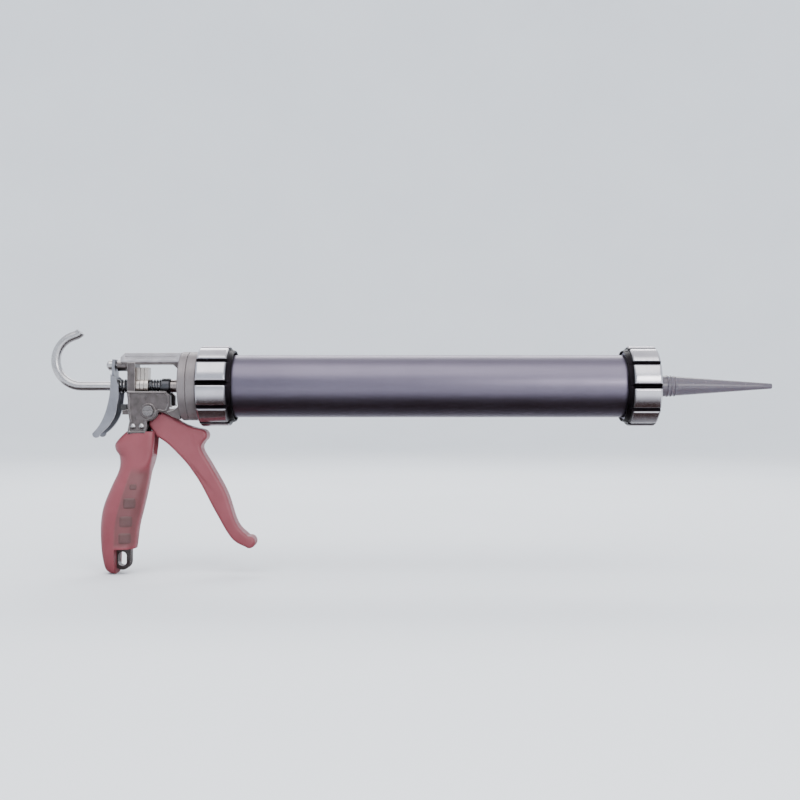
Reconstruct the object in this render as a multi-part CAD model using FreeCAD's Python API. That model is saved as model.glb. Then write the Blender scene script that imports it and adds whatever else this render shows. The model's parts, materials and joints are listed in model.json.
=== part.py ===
"""A hand-driven caulking gun with a closed barrel for 600 ml foil packs.

Millimetres. +X is the way the sealant leaves, +Z is up, and the origin is the centre of the
nozzle's outlet, so the whole gun lies at negative X. The barrel, the rod and both ring nuts
share the X axis. Each function below returns the solid or solids of one sub-part.
"""
import FreeCAD, Part
import math
import os

V = FreeCAD.Vector

# ---- driving dimensions ----
TUBE_OUTER_R = 27.0
TUBE_INNER_R = 25.5
NOZZLE_LENGTH = 102.0
FRONT_NUT_WIDTH = 28.0
TUBE_SHOWING = 334.0
REAR_NUT_WIDTH = 30.0
NUT_R = 35.0
NUT_LOBES = 10
THREAD_PITCH = 3.0
THREAD_DEPTH = 0.7
GAP = 0.3               # between parts that move past each other
ROD_R = 4.0
HOOK_R = 22.2

# ---- stations along the axis ----
NOSE_X = -NOZZLE_LENGTH                       # front face of the front ring nut
FRONT_NUT_REAR_X = NOSE_X - FRONT_NUT_WIDTH
REAR_NUT_FRONT_X = FRONT_NUT_REAR_X - TUBE_SHOWING
SEAT_X = REAR_NUT_FRONT_X - REAR_NUT_WIDTH    # rear face of the rear ring nut

FRONT_LIP = 4.0
CAP_THICKNESS = 5.0
GASKET = 2.0
FRONT_THREAD_R = 29.7
FRONT_THREAD_LENGTH = 15.0
CAP_FRONT_X = NOSE_X - FRONT_LIP
CAP_REAR_X = CAP_FRONT_X - CAP_THICKNESS
TUBE_FRONT_X = CAP_REAR_X - GASKET

REAR_THREAD_R = 29.1
SPIGOT_LENGTH = 12.0
FLANGE_THICKNESS = 4.5
REAR_GASKET = 1.5
SPIGOT_FRONT_X = SEAT_X + SPIGOT_LENGTH
TUBE_REAR_X = SPIGOT_FRONT_X + REAR_GASKET
FLANGE_FRONT_X = TUBE_REAR_X + FLANGE_THICKNESS

SEAT_R = 29.7
SEAT_LENGTH = 16.0
SEAT_WALL = 8.0
SEAT_REAR_X = SEAT_X - SEAT_LENGTH
WALL_FRONT_X = SEAT_REAR_X + SEAT_WALL

NOZZLE_BASE_R = 10.5
NOZZLE_TIP_R = 2.3
OUTLET_R = 1.5
OUTLET_LENGTH = 6.0
NOZZLE_WALL = 1.6
NOZZLE_FLANGE_R = 18.0

PISTON_FRONT_X = NOSE_X - 36.0
PISTON_R = TUBE_INNER_R - GAP

# ---- frame and handle ----
CHEEK_IN = 8.0          # half the gap between the frame's two cheeks
CHEEK_OUT = 12.5
BAR_HALF = 9.0
BAR_TOP = 28.5
BAR_BOTTOM = 18.5
BAR_REAR_X = SEAT_X - 68.0
UPRIGHT_REAR_X = SEAT_X - 62.0
UPRIGHT_FRONT_X = SEAT_X - 55.5
UPRIGHT_HALF = 10.0
UPRIGHT_BOTTOM = -6.8
BODY_TOP = -4.5
BODY_REAR_X = SEAT_X - 60.0
BODY_FRONT_X = SEAT_X - 24.5
BODY_BOTTOM = -41.0
RIB_OUT = 14.5
TANG_HALF = 4.0

PIVOT_X = SEAT_X - 43.3
PIVOT_Z = -21.5
PIVOT_R = 3.0
PUSH_PIN_R = 2.0
PUSH_PIN_X = PIVOT_X - 14.6
PUSH_PIN_Z = PIVOT_Z + 6.0
LEVER_HALF = CHEEK_IN - GAP
BLADE_HALF = 3.5
FORK_IN = 4.3
FORK_END_R = 2.9

PLATE_COUNT = 3
PLATE_THICKNESS = 3.2
PLATE_STEP = 3.6
PLATE_RING_R = 7.5
PLATE_TOP = 16.0
PLATE_BOTTOM = -16.4

STUD_X = SEAT_X - 74.3
STUD_Z = 18.0
STUD_R = 2.5
BOSS_REAR_X = SEAT_X - 72.2
RELEASE_HALF = 11.0
SHEET = 2.5
BUMPER_X = SEAT_X - 65.0
BUMPER_Z = -18.2
BUMPER_R = 2.8
NECK_HALF = 11.0

EYE_X = SEAT_X - 67.5
EYE_Z = -149.0
EYE_HALF_WIDTH = 3.5
EYE_HALF_STRAIGHT = 2.5
EYE_WALL = 3.6
GRIP_TOP = -39.0
GRIP_NOTCH_X = EYE_X - 5.0
GRIP_NOTCH_Z = EYE_Z + 9.0
SLOT_BACK_X = PIVOT_X - 9.0
SLOT_BOTTOM = -60.0
EAR_OUT = 11.6

# z, rear edge, front edge (both from the seat) and half width of the grip
GRIP_SECTIONS = (
    (-39.0, -64.0, -38.6, 12.8),
    (-44.0, -69.5, -38.6, 13.2),
    (-50.0, -74.0, -39.0, 13.4),
    (-55.0, -73.6, -39.6, 13.2),
    (-61.0, -70.2, -40.4, 13.0),
    (-72.0, -70.6, -42.8, 13.4),
    (-88.0, -77.8, -45.8, 14.4),
    (-104.0, -84.0, -49.4, 15.2),
    (-120.0, -86.4, -53.4, 15.4),
    (-140.0, -85.8, -56.2, 14.6),
    (-155.0, -83.2, -60.0, 12.8),
    (-161.5, -79.5, -66.0, 9.0),
)

# ---- fastenings, as (x, z) or (y, z) of each one ----
SEAT_SCREWS = ((0.0, 21.9), (10.8, -18.8), (-10.8, -18.8))
SEAT_SCREW_R = 1.8
SEAT_SCREW_LENGTH = 9.0
BUSH_R = 5.5
BUSH_REACH = 10.0        # how far the bush stands out behind the seat
CUP_FRONT_X = SEAT_REAR_X - BUSH_REACH
CUP_R = 6.8
CUP_LENGTH = 7.5
CHEEK_RIVETS = ((SEAT_X - 49.0, -34.5), (SEAT_X - 56.5, -34.5))
RIVET_R = 1.5
TRIGGER_SCREWS = ((SEAT_X - 4.0, -58.0), (SEAT_X + 22.0, -112.0))
TRIGGER_SCREW_R = 1.5
WIDE_X = SEAT_X - 12.0

# ---- grip details ----
GRIP_SCREWS = ((SEAT_X - 59.5, -74.0), (SEAT_X - 71.5, -121.3))
GRIP_SCREW_R = 1.6
GRIP_HEAD_R = 3.0
# x and z from the seat and the axis, then half width and half height
BARS = ((-56.2, -86.4, 3.0, 2.4), (-59.2, -100.4, 5.2, 4.6),
        (-62.3, -116.1, 5.4, 4.8), (-63.4, -130.5, 5.2, 4.8))
BAR_PROUD = 0.6

# ---- basic shapes ----


def box(x0, x1, y0, y1, z0, z1):
    return Part.makeBox(x1 - x0, y1 - y0, z1 - z0, V(x0, y0, z0))


def rod_x(r, x0, x1, y=0.0, z=0.0):
    return Part.makeCylinder(r, x1 - x0, V(x0, y, z), V(1, 0, 0))


def rod_y(r, y0, y1, x, z):
    return Part.makeCylinder(r, y1 - y0, V(x, y0, z), V(0, 1, 0))


def turned(profile):
    """Revolves a closed outline of (x, radius) points about the X axis."""
    points = [V(x, 0, r) for x, r in profile]
    face = Part.Face(Part.makePolygon(points + points[:1]))
    return face.revolve(V(0, 0, 0), V(1, 0, 0), 360)


def ring_x(outer, inner, x0, x1):
    return turned([(x0, inner), (x0, outer), (x1, outer), (x1, inner)])


def prism(points, y0, y1):
    """A flat outline of (x, z) points, given thickness from y0 to y1."""
    corners = [V(x, y0, z) for x, z in points]
    return Part.Face(Part.makePolygon(corners + corners[:1])).extrude(V(0, y1 - y0, 0))


def both_sides(shape):
    return [shape, shape.mirror(V(0, 0, 0), V(0, 1, 0))]


def fused(shapes):
    first, *others = shapes
    return first.fuse(others).removeSplitter() if others else first


def smooth(points):
    curve = Part.BSplineCurve()
    curve.interpolate(points)
    return curve.toShape()


def threaded(r_outer, r_inner, x0, x1):
    """A sleeve whose outside has a V groove at every pitch."""
    profile = [(x0, r_inner), (x0, r_outer)]
    turns = int((x1 - x0 - 1.0) / THREAD_PITCH)
    for turn in range(turns):
        x = x0 + 1.0 + turn * THREAD_PITCH
        profile += [(x, r_outer), (x + 1.0, r_outer - THREAD_DEPTH), (x + 2.0, r_outer)]
    profile += [(x1, r_outer), (x1, r_inner)]
    return turned(profile)


def hexagon_x(across_flats, x0, x1, y=0.0, z=0.0):
    r = across_flats / math.sqrt(3)
    corners = [
        V(x0, y + r * math.cos(math.radians(a)), z + r * math.sin(math.radians(a)))
        for a in range(0, 360, 60)
    ]
    return Part.Face(Part.makePolygon(corners + corners[:1])).extrude(V(x1 - x0, 0, 0))


def spring_x(x0, x1, mean_r, wire_r, turns):
    """A closed helical spring round the X axis, with its ends a little inside x0 and x1."""
    length = x1 - x0 - 2 * wire_r
    helix = Part.makeHelix(length / turns, length, mean_r)
    section = Part.Wire(Part.makeCircle(wire_r, V(mean_r, 0, 0), V(0, 1, 0)))
    coil = Part.Wire(helix).makePipeShell([section], True, True)
    coil.rotate(V(0, 0, 0), V(0, 1, 0), 90)
    coil.translate(V(x0 + wire_r, 0, 0))
    return coil


# ---- barrel ----


def barrel_tube():
    return ring_x(TUBE_OUTER_R, TUBE_INNER_R, TUBE_REAR_X, TUBE_FRONT_X)


def rear_flange():
    return ring_x(REAR_THREAD_R, TUBE_OUTER_R, TUBE_REAR_X, FLANGE_FRONT_X)


def rear_gasket():
    return ring_x(REAR_THREAD_R - 0.5, TUBE_INNER_R, SPIGOT_FRONT_X, TUBE_REAR_X)


def front_thread_collar():
    return threaded(
        FRONT_THREAD_R, TUBE_OUTER_R, TUBE_FRONT_X - FRONT_THREAD_LENGTH, TUBE_FRONT_X
    )


# ---- ring nuts ----


def lobed_disc(x0, x1, phase_deg):
    """The nut's outside: wide convex lobes with a narrow groove between each two."""
    groove_r = NUT_R - 3.2
    edge_r = NUT_R - 1.3
    half_groove = 1.3
    step = 360.0 / NUT_LOBES

    def at(r, deg):
        a = math.radians(deg)
        return V(x0, -r * math.cos(a), -r * math.sin(a))

    edges = []
    for lobe in range(NUT_LOBES):
        start = phase_deg + lobe * step + half_groove
        end = phase_deg + (lobe + 1) * step - half_groove
        crown = at(NUT_R, (start + end) / 2)
        edges += [
            Part.Arc(at(edge_r, start), crown, at(edge_r, end)).toShape(),
            Part.makeLine(at(edge_r, end), at(groove_r, end + 0.4)),
            Part.makeLine(at(groove_r, end + 0.4), at(groove_r, end + 2 * half_groove - 0.4)),
            Part.makeLine(at(groove_r, end + 2 * half_groove - 0.4), at(edge_r, end + 2 * half_groove)),
        ]
    return Part.Face(Part.Wire(edges)).extrude(V(x1 - x0, 0, 0))


def front_ring_nut():
    lobes_rear_x = FRONT_NUT_REAR_X + 4.0
    envelope = turned([
        (lobes_rear_x, 0.0), (lobes_rear_x, NUT_R - 1.5), (lobes_rear_x + 1.5, NUT_R + 0.1),
        (NOSE_X - 1.5, NUT_R + 0.1), (NOSE_X, NUT_R - 1.5), (NOSE_X, 0.0),
    ])
    lobes = lobed_disc(lobes_rear_x, NOSE_X, 1.0).common(envelope)
    neck = turned([
        (FRONT_NUT_REAR_X, 0.0), (FRONT_NUT_REAR_X, 30.9), (lobes_rear_x - 0.6, 31.8),
        (lobes_rear_x + 1.0, 31.8), (lobes_rear_x + 1.0, 0.0),
    ])
    bore_r = FRONT_THREAD_R + GAP
    hollow = turned([
        (FRONT_NUT_REAR_X - 1, 0.0), (FRONT_NUT_REAR_X - 1, bore_r), (CAP_FRONT_X, bore_r),
        (CAP_FRONT_X, 22.0), (NOSE_X - 1.5, 22.0), (NOSE_X + 1, 24.5), (NOSE_X + 1, 0.0),
    ])
    return lobes.fuse(neck).cut(hollow).removeSplitter()


def rear_ring_nut():
    lobes_front_x = SEAT_X + 24.0
    envelope = turned([
        (SEAT_X, 0.0), (SEAT_X, NUT_R - 1.5), (SEAT_X + 1.5, NUT_R + 0.1),
        (lobes_front_x - 1.5, NUT_R + 0.1), (lobes_front_x, NUT_R - 1.5), (lobes_front_x, 0.0),
    ])
    lobes = lobed_disc(SEAT_X, lobes_front_x, -4.0).common(envelope)
    neck = turned([
        (lobes_front_x - 1.0, 0.0), (lobes_front_x - 1.0, 31.8), (lobes_front_x + 0.6, 31.8),
        (REAR_NUT_FRONT_X, 29.4), (REAR_NUT_FRONT_X, 0.0),
    ])
    bore_r = REAR_THREAD_R + GAP
    hollow = turned([
        (SEAT_X - 1, 0.0), (SEAT_X - 1, bore_r), (FLANGE_FRONT_X, bore_r),
        (FLANGE_FRONT_X, TUBE_OUTER_R + GAP), (REAR_NUT_FRONT_X + 1, TUBE_OUTER_R + GAP),
        (REAR_NUT_FRONT_X + 1, 0.0),
    ])
    return lobes.fuse(neck).cut(hollow).removeSplitter()


# ---- front end ----


def front_cap():
    return turned([
        (CAP_REAR_X, NOZZLE_BASE_R), (CAP_REAR_X, FRONT_THREAD_R), (CAP_FRONT_X, FRONT_THREAD_R),
        (CAP_FRONT_X, 21.5), (CAP_FRONT_X + 2.5, 20.0), (CAP_FRONT_X + 2.5, 13.5),
        (CAP_FRONT_X + 1.0, NOZZLE_BASE_R),
    ])


def front_gasket():
    return ring_x(FRONT_THREAD_R - 0.4, TUBE_INNER_R, TUBE_FRONT_X, CAP_REAR_X)


def nozzle_seal():
    return ring_x(NOZZLE_FLANGE_R - 1.0, NOZZLE_BASE_R, CAP_REAR_X - 1.0, CAP_REAR_X)


def nozzle():
    flange_front = CAP_REAR_X - 1.0
    flange_rear = flange_front - 1.6
    shoulder = NOSE_X + 2.0
    bore_start = -OUTLET_LENGTH
    base_bore = NOZZLE_BASE_R - NOZZLE_WALL
    return turned([
        (flange_rear, base_bore), (flange_rear, NOZZLE_FLANGE_R), (flange_front, NOZZLE_FLANGE_R),
        (flange_front, NOZZLE_BASE_R), (shoulder, NOZZLE_BASE_R), (shoulder + 3.0, NOZZLE_BASE_R - 1.2),
        (0.0, NOZZLE_TIP_R), (0.0, OUTLET_R), (bore_start, OUTLET_R), (shoulder, base_bore),
    ])


# ---- piston and rod ----


def piston_rod():
    """A straight rod, a half-round hook behind it, and a short flare at the hook's end."""
    front = V(PISTON_FRONT_X - 0.5, 0, 0)
    bend = V(SEAT_X - 104.0, 0, 0)
    centre = V(bend.x, 0, HOOK_R)
    end_deg = 105.0
    flare_r = 10.0
    flare_deg = 35.0

    def on_hook(deg):
        a = math.radians(deg)
        return centre + V(HOOK_R * math.cos(a), 0, HOOK_R * math.sin(a))

    start_flare = on_hook(end_deg)
    outward = V(math.cos(math.radians(end_deg)), 0, math.sin(math.radians(end_deg)))
    flare_centre = start_flare + outward * flare_r

    def on_flare(deg):
        a = math.radians(end_deg + 180.0 + deg)
        return flare_centre + V(flare_r * math.cos(a), 0, flare_r * math.sin(a))

    path = Part.Wire([
        Part.makeLine(front, bend),
        Part.Arc(bend, on_hook(180.0), start_flare).toShape(),
        Part.Arc(start_flare, on_flare(flare_deg / 2), on_flare(flare_deg)).toShape(),
    ])
    section = Part.Wire(Part.makeCircle(ROD_R, front, V(-1, 0, 0)))
    return path.makePipeShell([section], True, False)


def piston_stack():
    """Front plate, seal cup, rear plate and nut, from the front face backwards."""
    x = PISTON_FRONT_X
    hole = ROD_R + 0.05
    plate = turned([
        (x - 3.0, hole), (x - 3.0, 24.0), (x - 1.0, 24.0), (x, 22.5), (x, hole),
    ])
    cup = turned([
        (x - 12.0, 23.2), (x - 12.0, PISTON_R), (x - 3.0, PISTON_R - 0.8), (x - 3.0, hole),
        (x - 8.0, hole), (x - 8.0, 21.5),
    ])
    rear = ring_x(20.0, hole, x - 10.0, x - 8.0)
    nut = hexagon_x(13.0, x - 16.5, x - 10.0).cut(rod_x(hole, x - 20.0, x))
    return {
        "piston_front_plate": plate,
        "piston_seal_cup": cup,
        "piston_rear_plate": rear,
        "piston_nut": nut,
    }


# ---- barrel seat and rod guide ----


def barrel_seat():
    groove_x = SEAT_REAR_X + 6.5
    outside = [
        (SEAT_REAR_X, BUSH_R), (SEAT_REAR_X, SEAT_R - 1.0), (SEAT_REAR_X + 1.0, SEAT_R),
        (groove_x, SEAT_R), (groove_x + 0.6, SEAT_R - 1.0), (groove_x + 1.2, SEAT_R),
        (SEAT_X - 1.0, SEAT_R), (SEAT_X - 1.0, REAR_THREAD_R - 0.5),
    ]
    inside = [
        (SPIGOT_FRONT_X, REAR_THREAD_R - 0.5), (SPIGOT_FRONT_X, TUBE_INNER_R),
        (WALL_FRONT_X, TUBE_INNER_R), (WALL_FRONT_X, BUSH_R),
    ]
    shell = turned(outside + inside)
    thread = threaded(REAR_THREAD_R, REAR_THREAD_R - 1.5, SEAT_X - 0.5, SPIGOT_FRONT_X)
    seat = shell.fuse(thread)
    for y, z in SEAT_SCREWS:
        seat = seat.cut(rod_x(SEAT_SCREW_R, SEAT_REAR_X - 1, WALL_FRONT_X + 1, y, z))
    return seat.removeSplitter()


def seat_screws():
    screws = []
    for y, z in SEAT_SCREWS:
        shank = rod_x(SEAT_SCREW_R, SEAT_REAR_X - SEAT_SCREW_LENGTH, WALL_FRONT_X, y, z)
        head = rod_x(2 * SEAT_SCREW_R - 0.3, WALL_FRONT_X, WALL_FRONT_X + 2.4, y, z)
        socket = hexagon_x(3.0, WALL_FRONT_X + 1.0, WALL_FRONT_X + 3.0, y, z)
        screws.append(shank.fuse(head).cut(socket).removeSplitter())
    return screws


def rod_guide_bush():
    return turned([
        (SEAT_REAR_X - BUSH_REACH, ROD_R + 0.06), (SEAT_REAR_X - BUSH_REACH, BUSH_R),
        (WALL_FRONT_X, BUSH_R),
        (WALL_FRONT_X, BUSH_R + 2.0), (WALL_FRONT_X + 1.5, BUSH_R + 2.0),
        (WALL_FRONT_X + 1.5, ROD_R + 0.06),
    ])


# ---- frame ----


def spring_cup():
    return turned([
        (CUP_FRONT_X - CUP_LENGTH, CUP_R - 0.7), (CUP_FRONT_X - CUP_LENGTH, CUP_R),
        (CUP_FRONT_X - 1.6, CUP_R), (CUP_FRONT_X - 0.5, CUP_R - 0.5), (CUP_FRONT_X, CUP_R - 1.6),
        (CUP_FRONT_X, ROD_R + 0.4), (CUP_FRONT_X - 1.2, ROD_R + 0.4), (CUP_FRONT_X - 1.2, CUP_R - 0.7),
    ])


def cheek_outline():
    """The side wall of the lower body, with a round mouth about the trigger's pivot."""
    mouth_r = 8.4

    def mouth(deg):
        a = math.radians(deg)
        return V(PIVOT_X + mouth_r * math.cos(a), 0, PIVOT_Z + mouth_r * math.sin(a))

    s = SEAT_X
    rear_side = [
        V(s - 45.5, 0, BODY_BOTTOM), V(s - 61.0, 0, BODY_BOTTOM), V(s - 61.0, 0, -38.0),
        V(s - 59.5, 0, -30.0), V(s - 61.0, 0, -19.0), V(s - 61.0, 0, -12.0),
        V(UPRIGHT_REAR_X, 0, BODY_TOP),
    ]
    front_side = [
        V(s - 28.5, 0, BODY_TOP), V(BODY_FRONT_X, 0, BODY_TOP - 4.0), V(BODY_FRONT_X, 0, -16.0),
        V(s - 20.5, 0, -20.5), V(SEAT_REAR_X, 0, -15.5), V(SEAT_REAR_X, 0, -28.5),
        V(s - 23.0, 0, -26.2), V(s - 29.5, 0, -22.8),
    ]
    path = rear_side + front_side
    edges = [Part.makeLine(a, b) for a, b in zip(path, path[1:])]
    edges.append(Part.makeLine(front_side[-1], mouth(-4.0)))
    edges.append(Part.Arc(mouth(-4.0), mouth(-45.0), mouth(-98.0)).toShape())
    edges.append(Part.makeLine(mouth(-98.0), rear_side[0]))
    return Part.Face(Part.Wire(edges))


def tang_outline():
    """The flat blade inside the grip, which ends in the eye that shows under it."""
    s = SEAT_X
    eye_r = EYE_HALF_WIDTH + EYE_WALL
    eye_low = EYE_Z - EYE_HALF_STRAIGHT
    front = [V(s - 52.5, 0, -36.0), V(s - 53.0, 0, -62.0), V(s - 56.5, 0, -88.0),
             V(s - 59.5, 0, -112.0), V(EYE_X + eye_r, 0, eye_low)]
    rear = [V(EYE_X - eye_r, 0, eye_low), V(s - 75.0, 0, -128.0), V(s - 73.0, 0, -108.0),
            V(s - 67.0, 0, -84.0), V(s - 61.5, 0, -60.0), V(s - 60.0, 0, -36.0)]
    edges = [Part.makeLine(a, b) for a, b in zip(front, front[1:])]
    edges.append(Part.Arc(front[-1], V(EYE_X, 0, eye_low - eye_r), rear[0]).toShape())
    edges += [Part.makeLine(a, b) for a, b in zip(rear, rear[1:])]
    edges.append(Part.makeLine(rear[-1], front[0]))
    return Part.Face(Part.Wire(edges))


def slab(face, y0, y1):
    moved = face.copy()
    moved.translate(V(0, y0, 0))
    return moved.extrude(V(0, y1 - y0, 0))


def tang():
    eye = fused([
        rod_y(EYE_HALF_WIDTH, -TANG_HALF - 1, TANG_HALF + 1, EYE_X, EYE_Z + EYE_HALF_STRAIGHT),
        rod_y(EYE_HALF_WIDTH, -TANG_HALF - 1, TANG_HALF + 1, EYE_X, EYE_Z - EYE_HALF_STRAIGHT),
        box(EYE_X - EYE_HALF_WIDTH, EYE_X + EYE_HALF_WIDTH, -TANG_HALF - 1, TANG_HALF + 1,
            EYE_Z - EYE_HALF_STRAIGHT, EYE_Z + EYE_HALF_STRAIGHT),
    ])
    return slab(tang_outline(), -TANG_HALF, TANG_HALF).cut(eye)


def top_bar():
    s = SEAT_X
    outline = [
        (SEAT_REAR_X, BAR_BOTTOM), (SEAT_REAR_X, BAR_TOP), (BAR_REAR_X + 4.0, BAR_TOP),
        (BAR_REAR_X, BAR_TOP - 4.0), (BAR_REAR_X, BAR_BOTTOM + 1.5), (BAR_REAR_X + 1.5, BAR_BOTTOM),
    ]
    bar = prism(outline, -BAR_HALF, BAR_HALF)
    for y0, y1 in ((-BAR_HALF - 1, -BAR_HALF + 1.8), (BAR_HALF - 1.8, BAR_HALF + 1)):
        bar = bar.cut(box(BAR_REAR_X + 4.0, SEAT_REAR_X - 4.0, y0, y1, 23.2, 25.6))
    gusset = prism([(UPRIGHT_REAR_X, BAR_BOTTOM), (UPRIGHT_REAR_X, 8.0),
                    (BAR_REAR_X + 2.0, BAR_BOTTOM)], -4.0, 4.0)
    foot = prism([(SEAT_REAR_X, BAR_BOTTOM), (SEAT_REAR_X, 12.0), (s - 23.0, BAR_BOTTOM)],
                 -BAR_HALF, BAR_HALF)
    boss = rod_x(5.0, BOSS_REAR_X, UPRIGHT_REAR_X + 2.0, 0.0, STUD_Z)
    return [bar, gusset, foot, boss]


def frame_casting():
    cheek = slab(cheek_outline(), CHEEK_IN, CHEEK_OUT)
    rib = prism([(SEAT_REAR_X, -15.5), (SEAT_REAR_X, -28.5), (SEAT_X - 23.0, -26.2),
                 (SEAT_X - 27.0, -22.0), (SEAT_X - 20.5, -20.5)], CHEEK_IN, RIB_OUT)
    upright = box(UPRIGHT_REAR_X, UPRIGHT_FRONT_X, -UPRIGHT_HALF, UPRIGHT_HALF, UPRIGHT_BOTTOM, 20.0)
    web = box(BODY_REAR_X + 1.0, BODY_REAR_X + 4.5, -CHEEK_IN, CHEEK_IN, BODY_BOTTOM, -23.0)
    neck = box(BUMPER_X - 1.0, BODY_REAR_X + 3.0, -NECK_HALF, NECK_HALF, -24.5, -20.0)
    parts = [upright, web, neck, tang()] + top_bar() + both_sides(cheek) + both_sides(rib)
    frame = fused(parts)
    cuts = [
        rod_x(ROD_R + 0.6, UPRIGHT_REAR_X - 10, UPRIGHT_FRONT_X + 1),
        rod_x(STUD_R, BOSS_REAR_X - 1, UPRIGHT_REAR_X + 3.0, 0.0, STUD_Z),
        rod_y(PIVOT_R, -CHEEK_OUT - 1, CHEEK_OUT + 1, PIVOT_X, PIVOT_Z),
        rod_y(BUMPER_R, -CHEEK_OUT, CHEEK_OUT, BUMPER_X, BUMPER_Z),
    ]
    for y, z in SEAT_SCREWS:
        cuts.append(rod_x(SEAT_SCREW_R, SEAT_REAR_X - SEAT_SCREW_LENGTH, SEAT_REAR_X + 1, y, z))
    for x, z in CHEEK_RIVETS:
        cuts.append(rod_y(RIVET_R, -CHEEK_OUT - 1, CHEEK_OUT + 1, x, z))
    for x, z in GRIP_SCREWS:
        cuts.append(rod_y(GRIP_SCREW_R, -TANG_HALF - 1, TANG_HALF + 1, x, z))
    for cut in cuts:
        frame = frame.cut(cut)
    return frame.removeSplitter()


def cheek_rivets():
    rivets = []
    for x, z in CHEEK_RIVETS:
        shank = rod_y(RIVET_R, CHEEK_IN, CHEEK_OUT, x, z)
        head = Part.makeSphere(3.0, V(x, CHEEK_OUT - 1.8, z)).common(
            box(x - 4, x + 4, CHEEK_OUT, CHEEK_OUT + 4, z - 4, z + 4))
        rivets += both_sides(shank.fuse(head).removeSplitter())
    return rivets


def stop_bumper():
    return rod_y(BUMPER_R, -RELEASE_HALF, RELEASE_HALF, BUMPER_X, BUMPER_Z)


def pivot_bolt():
    shank = rod_y(PIVOT_R, -CHEEK_OUT, CHEEK_OUT + 5.0, PIVOT_X, PIVOT_Z)
    head = rod_y(4.4, -CHEEK_OUT - 2.4, -CHEEK_OUT, PIVOT_X, PIVOT_Z)
    slot = box(PIVOT_X - 6, PIVOT_X + 6, -CHEEK_OUT - 3, -CHEEK_OUT - 1.2, PIVOT_Z - 0.6, PIVOT_Z + 0.6)
    return shank.fuse(head).cut(slot).removeSplitter()


def pivot_nut():
    nut = hexagon_x(9.0, 0.0, 4.0)
    nut.rotate(V(0, 0, 0), V(0, 0, 1), 90)
    nut.translate(V(PIVOT_X, CHEEK_OUT, PIVOT_Z))
    return nut.cut(rod_y(PIVOT_R, CHEEK_OUT - 1, CHEEK_OUT + 5, PIVOT_X, PIVOT_Z))


def lever_stud():
    """The shouldered screw that the release lever hangs on, with its domed head."""
    head_x = STUD_X - 2.3
    shank = rod_x(STUD_R, head_x, UPRIGHT_REAR_X + 3.0, 0.0, STUD_Z)
    neck = rod_x(4.5, head_x - 3.0, head_x, 0.0, STUD_Z)
    dome = Part.makeSphere(5.2, V(head_x - 0.4, 0, STUD_Z)).common(
        box(head_x - 8.0, head_x - 3.0, -6, 6, STUD_Z - 6, STUD_Z + 6))
    return fused([shank, neck, dome])


# ---- grip ----


def grip_form(proud=0.0):
    """The palm grip's outer form, a loft through rounded sections."""
    rings = []
    for z, rear, front, half in GRIP_SECTIONS:
        centre = SEAT_X + (rear + front) / 2
        reach = (front - rear) / 2
        points = []
        for step in range(16):
            a = 2 * math.pi * (step + 0.5) / 16
            x = math.copysign(abs(math.cos(a)) ** 0.8, math.cos(a)) * reach
            y = math.copysign(abs(math.sin(a)) ** 0.8, math.sin(a)) * (half + proud)
            points.append(V(centre + x, y, z))
        curve = Part.BSplineCurve()
        curve.interpolate(Points=points, PeriodicFlag=True)
        rings.append(Part.Wire(curve.toShape()))
    return Part.makeLoft(rings, True, False)


def slot_ear(side):
    """The flat side of the grip's open front, where the squeezed trigger goes in."""
    outline = [(SLOT_BACK_X - 3.0, GRIP_TOP - 1.5), (SEAT_X - 39.5, GRIP_TOP - 1.5),
               (SEAT_X - 38.6, GRIP_TOP - 3.5), (SEAT_X - 40.4, SLOT_BOTTOM - 2.0),
               (SLOT_BACK_X - 3.0, SLOT_BOTTOM - 8.0)]
    near, far = sorted((side * (CHEEK_IN + GAP), side * EAR_OUT))
    return prism(outline, near, far)


def bar_blocks(side):
    blocks = []
    for x, z, half_x, half_z in BARS:
        near, far = sorted((side * 9.0, side * 20.0))
        blocks.append(box(SEAT_X + x - half_x, SEAT_X + x + half_x, near, far, z - half_z, z + half_z))
    return blocks


def grip_parts():
    """The two grip shells and the raised bars let into each side."""
    form = grip_form()
    proud = grip_form(BAR_PROUD)
    hollow = [
        slab(tang_outline(), -TANG_HALF, TANG_HALF),
        box(SLOT_BACK_X, SEAT_X, -CHEEK_IN - GAP, CHEEK_IN + GAP, SLOT_BOTTOM, 0.0),
        box(SEAT_X - 70.0, SEAT_X - 35.0, -CHEEK_OUT, CHEEK_OUT, BODY_BOTTOM, 0.0),
        box(GRIP_NOTCH_X, SEAT_X, -20, 20, -170, GRIP_NOTCH_Z),
    ]
    for x, z in GRIP_SCREWS:
        hollow.append(rod_y(GRIP_SCREW_R, -9.0, 20.0, x, z))
        hollow.append(rod_y(GRIP_HEAD_R, 10.0, 20.0, x, z))
    solids = {}
    for name, side in (("right", -1), ("left", 1)):
        near, far = sorted((0.0, side * 20.0))
        half = form.common(box(SEAT_X - 100, SEAT_X, near, far, -170, 0)).fuse(slot_ear(side))
        blocks = bar_blocks(side)
        for cut in hollow + blocks:
            half = half.cut(cut)
        solids["grip_" + name] = half.removeSplitter()
        solids["grip_bars_" + name] = [
            block.common(proud) for block in blocks
        ]
    return solids


def grip_screws():
    screws = []
    for x, z in GRIP_SCREWS:
        shank = rod_y(GRIP_SCREW_R, -9.0, 10.0, x, z)
        head = rod_y(GRIP_HEAD_R, 10.0, 12.4, x, z)
        slot = box(x - 5, x + 5, 11.4, 13, z - 0.5, z + 0.5)
        screws.append(shank.fuse(head).cut(slot).removeSplitter())
    return screws


# ---- trigger ----


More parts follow.
